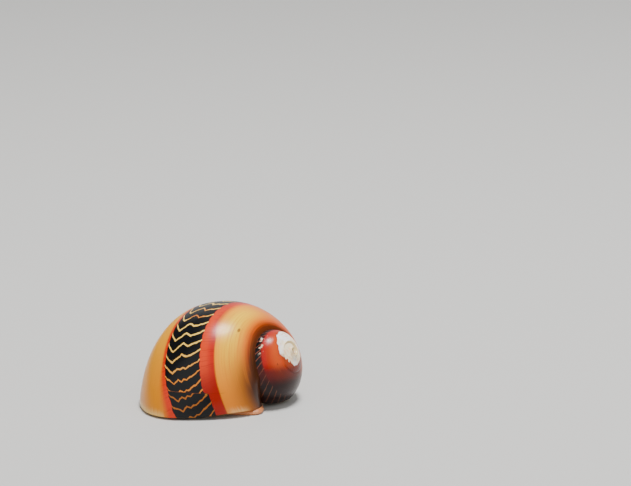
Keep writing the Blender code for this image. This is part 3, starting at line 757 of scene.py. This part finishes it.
# Soft body: one moist skin over foot, neck, snout, feelers and eyestalks.
# The foot is a broad creeping sole with a thin margin, and the head is turned out under
# the far lip with its mouth low on the snout.
FOOT_MIDDLE = Vector((-1.3, -2.8, 0)) * MM
FOOT_REACH = 6.4 * MM
FOOT_FRONT = 137
FOOT_FRONT_REACH = 1.5 * MM
FOOT_REAR = -46
FOOT_REAR_REACH = 1.6 * MM
FOOT_FAR = 58
FOOT_FAR_CUT = 2.2 * MM
FOOT_EDGE_HEIGHT = 0.6 * MM
FOOT_STEM_MIDDLE = Vector((-2.0, -5.2, 0)) * MM
FOOT_ROWS = (
    (0, 0, 0), (0.6, 0, 0), (0.96, 0, 0), (1.0, 0, 0.35), (0.985, 0, 0.75), (0.94, 0.03, 1.0),
    (0.66, 0.8, 1.25), (0.58, 1.0, 2.6), (0.44, 1.0, 3.8), (0.22, 1.0, 4.5), (0, 1.0, 4.5),
)
BODY_RINGS = (
    ((-3.0, 0.6), 128, 1.1, 1.15, 1.9), ((-3.7, 1.4), 126, 1.65, 1.0, 2.3),
    ((-4.5, 2.3), 118, 1.85, 0.95, 2.45), ((-5.15, 3.2), 108, 1.95, 0.9, 2.6),
    ((-5.5, 4.1), 100, 1.95, 0.75, 2.6), ((-5.65, 4.8), 97, 1.8, 0.55, 2.4),
    ((-5.75, 5.6), 96, 1.6, 0.38, 1.9), ((-5.8, 6.15), 96, 1.5, 0.32, 1.65),
    ((-5.85, 6.5), 96, 1.2, 0.4, 1.4), ((-5.87, 6.68), 96, 0.75, 0.6, 1.15),
)
FEELERS = (
    ((-6.75, 4.75, 2.0), (-7.25, 6.2, 2.05), (-7.55, 8.1, 1.5), (-7.3, 10.5, 0.85)),
    ((-4.45, 4.95, 2.0), (-3.7, 6.3, 2.1), (-2.75, 8.1, 1.65), (-2.2, 10.35, 0.95)),
)
FEELER_ROOT_RADIUS = 0.38 * MM
FEELER_TIP_RADIUS = 0.17 * MM
FEELER_COLUMNS = 24
HEAD_HEADING = 97
EYESTALKS = (((-7.3, 4.2, 2.25), 90), ((-3.75, 4.55, 2.25), -90))
EYESTALK_SIZE = (0.5, 0.55, 0.55)
EYE_RADIUS = 0.3 * MM
EYE_OUTWARD = 0.34 * MM
EYE_UPWARD = 0.36 * MM
EYE_COLLAR_RADIUS = 0.38 * MM
EYE_COLLAR_DEPTH = 0.15 * MM
MOUTH_MIDDLE = Vector((-5.87, 6.74, 0.82)) * MM
MOUTH_HALF_WIDTH = 0.75 * MM
SKIN_VOXEL = 0.075 * MM
FOOT_COLUMNS = 160
RING_COLUMNS = 64
RING_ROWS = 50
UP = Vector((0, 0, 1))


def foot_reach(angle):
    def lobe(middle, power):
        return max(0, math.cos(math.radians(angle - middle))) ** power

    reach = FOOT_REACH + FOOT_FRONT_REACH * lobe(FOOT_FRONT, 6)
    reach += FOOT_REAR_REACH * lobe(FOOT_REAR, 30)
    return reach - FOOT_FAR_CUT * lobe(FOOT_FAR, 2)


def lay_foot(column, row):
    size, shift, level = FOOT_ROWS[row]
    angle = 360 * column / FOOT_COLUMNS
    middle = FOOT_MIDDLE.lerp(FOOT_STEM_MIDDLE, shift)
    spot = middle + heading(angle) * foot_reach(angle) * size
    spot.z = FOOT_EDGE_HEIGHT * level
    return spot


def lay_body(column, row):
    place = row / RING_ROWS * (len(BODY_RINGS) - 1)
    x = on_curve([ring[0][0] for ring in BODY_RINGS], place) * MM
    y = on_curve([ring[0][1] for ring in BODY_RINGS], place) * MM
    facing = on_curve([ring[1] for ring in BODY_RINGS], place)
    half_width = on_curve([ring[2] for ring in BODY_RINGS], place) * MM
    low = on_curve([ring[3] for ring in BODY_RINGS], place) * MM
    high = on_curve([ring[4] for ring in BODY_RINGS], place) * MM
    if row in (0, RING_ROWS):
        half_width = 0
        low = high = (low + high) / 2
    swing = 2 * math.pi * column / RING_COLUMNS
    across = math.copysign(abs(math.cos(swing)) ** 0.85, math.cos(swing))
    up = math.copysign(abs(math.sin(swing)) ** 0.85, math.sin(swing))
    spot = Vector((x, y, (low + high) / 2)) + heading(facing + 90) * across * half_width
    return spot + UP * up * (high - low) / 2


def feeler_layer(path):
    points = [Vector(point) * MM for point in path]
    last = len(points) - 1

    def lay_feeler(column, row):
        place = row / RING_ROWS
        middle = on_curve(points, place * last)
        ahead = on_curve(points, min(1, place + 0.01) * last)
        behind = on_curve(points, max(0, place - 0.01) * last)
        forward = (ahead - behind).normalized()
        side = forward.cross(UP).normalized()
        radius = FEELER_ROOT_RADIUS + (FEELER_TIP_RADIUS - FEELER_ROOT_RADIUS) * place
        radius *= math.sqrt(max(0, 1 - max(0, (place - 0.96) / 0.04) ** 2))
        if row == 0:
            radius = 0
        swing = 2 * math.pi * column / FEELER_COLUMNS
        return middle + (side * math.cos(swing) + side.cross(forward) * math.sin(swing)) * radius

    return lay_feeler


forms = [wrapped_grid("skin", FOOT_COLUMNS, len(FOOT_ROWS) - 1, lay_foot)]
forms.append(wrapped_grid("neck_form", RING_COLUMNS, RING_ROWS, lay_body))
for path in FEELERS:
    forms.append(wrapped_grid("feeler_form", FEELER_COLUMNS, RING_ROWS, feeler_layer(path)))
for piece in forms:
    close_tube(piece)
for spot, _ in EYESTALKS:
    deselect()
    bpy.ops.mesh.primitive_uv_sphere_add(segments=32, ring_count=16, radius=MM, location=Vector(spot) * MM)
    stalk = bpy.context.object
    stalk.scale = EYESTALK_SIZE
    stalk.rotation_euler = (0, 0, math.radians(HEAD_HEADING))
    bpy.ops.object.transform_apply(location=True, rotation=True, scale=True)
    forms.append(stalk)
for spot, turn in EYESTALKS:
    leaning = heading(HEAD_HEADING + turn) * EYE_OUTWARD + UP * EYE_UPWARD
    collar = Vector(spot) * MM + leaning * (1 - EYE_COLLAR_DEPTH / leaning.length)
    deselect()
    bpy.ops.mesh.primitive_uv_sphere_add(radius=EYE_COLLAR_RADIUS, location=collar)
    bpy.ops.object.transform_apply(location=True, rotation=True, scale=True)
    forms.append(bpy.context.object)
select_only(forms[0])
for piece in forms[1:]:
    piece.select_set(True)
bpy.ops.object.join()
skin = bpy.context.object
while skin.data.uv_layers:
    skin.data.uv_layers.remove(skin.data.uv_layers[0])
apply_modifier(skin, "REMESH", mode="VOXEL", voxel_size=SKIN_VOXEL)
apply_modifier(skin, "SMOOTH", factor=0.5, iterations=6)


def on_segment(point, middle, direction, half):
    offset = point - middle
    along = max(-half, min(half, offset.dot(direction)))
    return (offset - direction * along).length


# Folds across the neck, rings on the feelers, small tubercles, and the slit of the mouth
# between its two grooved lips are pressed into the skin
NECK_FOLD_SPACING = 0.5 * MM
FEELER_RING_SPACING = 0.34 * MM
FEELER_BAND_SPACING = 0.36 * MM
MOUTH_GROOVE_SPACING = 0.22 * MM
TUBERCLE_SIZE = 0.3 * MM
SOLE_KEPT_FLAT = 0.06 * MM
mouth_side = heading(HEAD_HEADING + 90)
mouth_ahead = heading(HEAD_HEADING)
moves = []
depth_values = []
for vertex in skin.data.vertices:
    spot = vertex.co
    if spot.z < SOLE_KEPT_FLAT:
        moves.append(spot.copy())
        depth_values.append(0)
        continue
    ahead = (spot - MOUTH_MIDDLE).dot(mouth_ahead)
    sideways = (spot - MOUTH_MIDDLE).dot(mouth_side)
    loose = noise.noise(spot / (1.1 * MM))
    folds = 0.05 * loose + 0.028 * noise.noise(spot / TUBERCLE_SIZE)
    on_neck = smooth_step(spot.y, 0.5 * MM, 2.0 * MM) * smooth_step(spot.y, 5.2 * MM, 4.2 * MM)
    folds += on_neck * 0.07 * math.sin(2 * math.pi * (ahead / NECK_FOLD_SPACING + loose * 0.8))
    outside_snout = smooth_step(abs(sideways + 0.1 * MM), 1.2 * MM, 1.7 * MM)
    on_feeler = outside_snout * smooth_step(spot.y, 5.3 * MM, 6.0 * MM)
    folds += on_feeler * 0.02 * math.sin(2 * math.pi * (ahead / FEELER_RING_SPACING + loose * 0.4))
    slit = on_segment(spot, MOUTH_MIDDLE, mouth_side, MOUTH_HALF_WIDTH)
    grooves = 0.5 + 0.5 * math.cos(2 * math.pi * sideways / MOUTH_GROOVE_SPACING)
    folds += bell(slit, 0.34 * MM, 0.15 * MM) * (0.13 + 0.04 * grooves)
    folds -= 0.3 * bell(slit, 0, 0.15 * MM)
    depth_values.append(bell(slit, 0, 0.17 * MM))
    moves.append(spot + vertex.normal * folds * MM)
for vertex, spot in zip(skin.data.vertices, moves):
    vertex.co = (spot.x, spot.y, max(0, spot.z))
mouth_depth = skin.data.attributes.new("mouth_depth", "FLOAT", "POINT")
mouth_depth.data.foreach_set("value", depth_values)
select_only(skin)
bpy.ops.object.shade_smooth()
# Moist flesh glistens in many small points on its tubercles. It is straw-grey with dark flecks
# on the head, dark rings on the feelers, a pale rim to the sole and an orange rear edge.
skin_finish, tree, shader = new_material("moist snail skin")
place = add_node(tree, "TexCoord").outputs["Object"]
across, onward, height = add_node(tree, "SeparateXYZ", {0: place}).outputs[:3]
blotches = add_node(tree, "TexNoise", {"Vector": place, "Scale": 2100, "Detail": 5}).outputs[0]
specks = add_node(tree, "TexNoise", {"Vector": place, "Scale": 5200, "Detail": 3}).outputs[0]
patches = add_node(tree, "TexNoise", {"Vector": place, "Scale": 420, "Detail": 2}).outputs[0]
greyer = step_between(tree, patches, 0.35, 0.65)
skin_colour = blend_colour(tree, greyer, linear("#CDB27C"), linear("#94815F"))
speckled = calculate(tree, "MULTIPLY", specks, 0.5)
skin_colour = blend_colour(tree, speckled, skin_colour, linear("#7D6A4C"))
flecks = calculate(tree, "MULTIPLY_ADD", blotches, 0.72, calculate(tree, "MULTIPLY", specks, 0.28))
dark = step_between(tree, flecks, 0.49, 0.56)
dark = calculate(tree, "MULTIPLY", dark, step_between(tree, height, 0.25 * MM, 0.8 * MM))
dark = calculate(tree, "MULTIPLY", dark, step_between(tree, onward, 7.4 * MM, 6.6 * MM))
ring_place = calculate(tree, "MULTIPLY_ADD", patches, 0.5 * MM, onward)
rings = calculate(tree, "SINE", calculate(tree, "MULTIPLY", ring_place, 2 * math.pi / FEELER_BAND_SPACING))
rings = calculate(tree, "MULTIPLY", step_between(tree, rings, 0.25, 0.75), 0.8)
rings = calculate(tree, "MULTIPLY", rings, step_between(tree, onward, 6.75 * MM, 7.15 * MM))
dark = calculate(tree, "MULTIPLY", calculate(tree, "MAXIMUM", dark, rings), 0.86)
skin_colour = blend_colour(tree, dark, skin_colour, linear("#221C18"))
rear = calculate(tree, "MULTIPLY", step_between(tree, across, 0.2 * MM, 2.0 * MM), 0.7)
rear = calculate(tree, "MULTIPLY", rear, step_between(tree, onward, -5.6 * MM, -6.6 * MM))
skin_colour = blend_colour(tree, rear, skin_colour, linear("#D8743A"))
in_mouth = add_node(tree, "Attribute", attribute_name="mouth_depth").outputs["Fac"]
in_mouth = step_between(tree, in_mouth, 0.35, 0.85)
skin_colour = blend_colour(tree, in_mouth, skin_colour, linear("#4A1C14"))
tree.links.new(skin_colour, shader.inputs["Base Color"])
shader.inputs["Roughness"].default_value = 0.38
shader.inputs["Coat Weight"].default_value = 0.3
shader.inputs["Coat Roughness"].default_value = 0.15
shader.inputs["Subsurface Weight"].default_value = 0.15
shader.inputs["Subsurface Radius"].default_value = (1, 0.5, 0.25)
shader.inputs["Subsurface Scale"].default_value = 0.3 * MM
warts = add_node(tree, "TexVoronoi", {"Vector": place, "Scale": 5500}).outputs["Distance"]
skin_relief = calculate(tree, "MULTIPLY_ADD", specks, 0.6, calculate(tree, "MULTIPLY", warts, -0.8))
skin_bump = add_node(tree, "Bump", {"Strength": 0.5, "Distance": 0.04 * MM, "Height": skin_relief})
tree.links.new(skin_bump.outputs[0], shader.inputs["Normal"])
skin.data.materials.clear()
skin.data.materials.append(skin_finish)
skin_nodes = ["foot", "head", "snout"]
for side in ("left", "right"):
    skin_nodes.append("eyestalk_" + side)
    for length in ("base", "middle", "tip"):
        skin_nodes.append("tentacle_" + side + "_" + length)
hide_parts(*skin_nodes)
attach(skin, "root")


# Eyes: two black beads, each sunk in the top of its stalk under a clear wet skin.
# Nearly black and very smooth, so each eye shows one small bright point
eye_finish, tree, shader = new_material("wet black eye")
shader.inputs["Base Color"].default_value = linear("#0A0A0C")
shader.inputs["Roughness"].default_value = 0.12
shader.inputs["Coat Weight"].default_value = 1
for side, (stalk_spot, turn) in zip(("left", "right"), EYESTALKS):
    seat = Vector(stalk_spot) * MM + heading(HEAD_HEADING + turn) * EYE_OUTWARD + UP * EYE_UPWARD
    deselect()
    bpy.ops.mesh.primitive_uv_sphere_add(segments=40, ring_count=24, radius=EYE_RADIUS, location=seat)
    eye = bpy.context.object
    eye.name = "bead_" + side
    bpy.ops.object.transform_apply(location=True, rotation=True, scale=True)
    bpy.ops.object.shade_smooth()
    eye.data.materials.append(eye_finish)
    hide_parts("eye_" + side)
    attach(eye, "root")


# Setting: a pale floor, soft lamps overhead and beside, and the camera.
# The lens and its aim give the animal the size and place that it has in the picture.
deselect()
bpy.ops.mesh.primitive_plane_add(size=4)
floor = bpy.context.object
floor.name = "floor"
# Pale and without shine, so the animal's own shadow is all that shows on it
floor_finish, tree, shader = new_material("matt paper")
shader.inputs["Base Color"].default_value = linear("#C9C8C5")
shader.inputs["Roughness"].default_value = 0.8
floor.data.materials.append(floor_finish)

LAMPS = (
    ("key", (0.06, -0.02, 0.55), 0.16, 4.6),
    ("fill", (-0.3, -0.5, 0.25), 0.9, 2.0),
    ("side", (0.5, -0.35, 0.3), 0.9, 1.8),
    ("back", (0.1, 0.55, 0.35), 0.9, 1.4),
)
world = bpy.data.worlds.new("studio")
world.use_nodes = True
world.node_tree.nodes["Background"].inputs["Color"].default_value = linear("#E8E8E6")
world.node_tree.nodes["Background"].inputs["Strength"].default_value = 0.18
bpy.context.scene.world = world
for name, spot, size, power in LAMPS:
    light = bpy.data.lights.new(name, "AREA")
    light.shape = "DISK"
    light.size = size
    light.energy = power
    lamp = bpy.data.objects.new(name, light)
    bpy.context.scene.collection.objects.link(lamp)
    lamp.location = spot
    lamp.rotation_euler = (Vector((0, 0, 0.004)) - Vector(spot)).to_track_quat("-Z", "Y").to_euler()

AIM = Vector((0, 0, 3.74)) * MM
AIM_DISTANCE = 0.319
AIM_DOWN = math.radians(15.2)
LENS_DOWN = 12.765
LENS_RIGHT = 1.9907
LENS_MM = 159.75
camera_data = bpy.data.cameras.new("camera")
camera_data.lens = LENS_MM
camera_data.sensor_width = 36
camera_data.clip_start = 0.01
camera = bpy.data.objects.new("camera", camera_data)
bpy.context.scene.collection.objects.link(camera)
camera.location = AIM + Vector((0, -math.cos(AIM_DOWN), math.sin(AIM_DOWN))) * AIM_DISTANCE
camera.rotation_euler = (math.radians(90 - LENS_DOWN), 0, math.radians(-LENS_RIGHT))
bpy.context.scene.camera = camera
